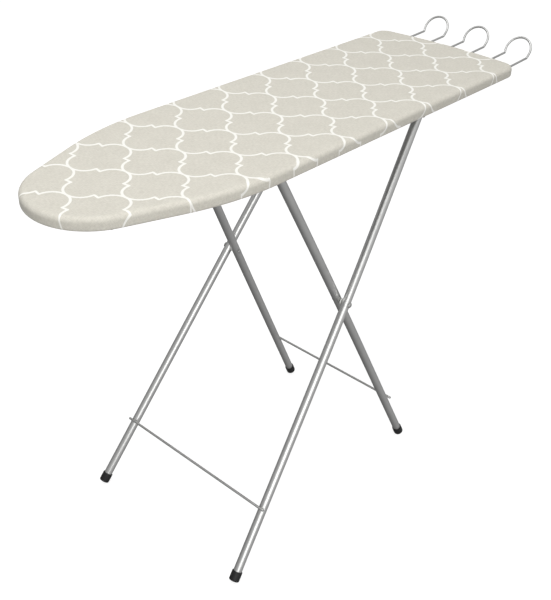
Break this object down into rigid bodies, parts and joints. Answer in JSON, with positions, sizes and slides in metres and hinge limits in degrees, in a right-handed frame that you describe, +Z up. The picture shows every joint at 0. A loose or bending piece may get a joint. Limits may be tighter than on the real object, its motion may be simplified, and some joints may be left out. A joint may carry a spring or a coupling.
{
  "type": "ironing board",
  "caption": "Folding ironing board with a tapered padded top, crossed tube legs with end caps, and a wire iron rest behind the tail.",
  "frame": {"origin": "on the floor, under the middle of the whole object's box", "axes": "+X along the board from its rounded nose to its square tail, +Y across it, +Z up"},
  "size_m": [1.3261, 0.4578, 0.9149],
  "materials": {
    "cover_fabric": "matte woven cotton, greige with an off-white trellis lattice",
    "felt": "matte felt",
    "silver_tube": "satin silver",
    "bright_wire": "bright plated",
    "zinc_steel": "zinc plated, satin",
    "deck_steel": "pale grey powder coat",
    "black_plastic": "matte black",
    "white_plastic": "satin white"
  },
  "bodies": {
    "board": {"cover": "cover_fabric", "pad": "felt", "deck": "deck_steel", "deck_rib_left": "deck_steel", "deck_rib_right": "deck_steel", "tail_cross_rib": "deck_steel", "pivot_bracket_left": "zinc_steel", "pivot_bracket_right": "zinc_steel", "height_rail_left": "zinc_steel", "height_rail_right": "zinc_steel", "pivot_rivet_nose_left": "zinc_steel", "pivot_rivet_tail_left": "zinc_steel", "pivot_rivet_nose_right": "zinc_steel", "pivot_rivet_tail_right": "zinc_steel", "rail_rivet_nose_left": "zinc_steel", "rail_rivet_tail_left": "zinc_steel", "rail_rivet_nose_right": "zinc_steel", "rail_rivet_tail_right": "zinc_steel", "rest_rivet_left": "zinc_steel", "rest_rivet_right": "zinc_steel", "rest_loop_right": "bright_wire", "rest_loop_middle": "bright_wire", "rest_loop_left": "bright_wire", "rest_cross_wire_nose": "bright_wire", "rest_cross_wire_tail": "bright_wire", "rest_bracket_left": "zinc_steel", "rest_bracket_right": "zinc_steel", "lever_bracket_inner": "zinc_steel", "lever_bracket_outer": "zinc_steel", "lever_spring": "bright_wire"},
    "outer_legs": {"outer_leg_left": "silver_tube", "outer_leg_right": "silver_tube", "outer_foot_cap_left": "black_plastic", "outer_foot_cap_right": "black_plastic", "outer_cross_wire": "bright_wire", "pivot_bar": "zinc_steel", "crossing_rivet_left": "bright_wire", "crossing_rivet_right": "bright_wire", "crossing_washer_left": "white_plastic", "crossing_washer_right": "white_plastic"},
    "inner_legs": {"inner_leg_left": "silver_tube", "inner_leg_right": "silver_tube", "inner_foot_cap_left": "black_plastic", "inner_foot_cap_right": "black_plastic", "inner_cross_wire": "bright_wire", "slide_bar": "zinc_steel"},
    "height_lever": {"height_lever": "zinc_steel", "lever_grip": "black_plastic"}
  },
  "joints": [
    {"name": "leg_fold", "type": "hinge", "parent": "board", "child": "outer_legs", "pos_m": [0.2058, 0, 0.855], "axis": [0, 1, 0], "range_deg": [0, 46]},
    {"name": "leg_scissor", "type": "hinge", "parent": "outer_legs", "child": "inner_legs", "pos_m": [-0.0505, 0, 0.5101], "axis": [0, 1, 0], "range_deg": [-102.2, 0]},
    {"name": "lever_squeeze", "type": "hinge", "parent": "board", "child": "height_lever", "pos_m": [-0.15, 0, 0.862], "axis": [0, -1, 0], "range_deg": [0, 14], "stiffness_Nm_per_rad": 0.6, "springref_deg": -11.46}
  ],
  "couplings": [
    {"joint": "leg_scissor", "follows": "leg_fold", "ratio": -2.22}
  ]
}
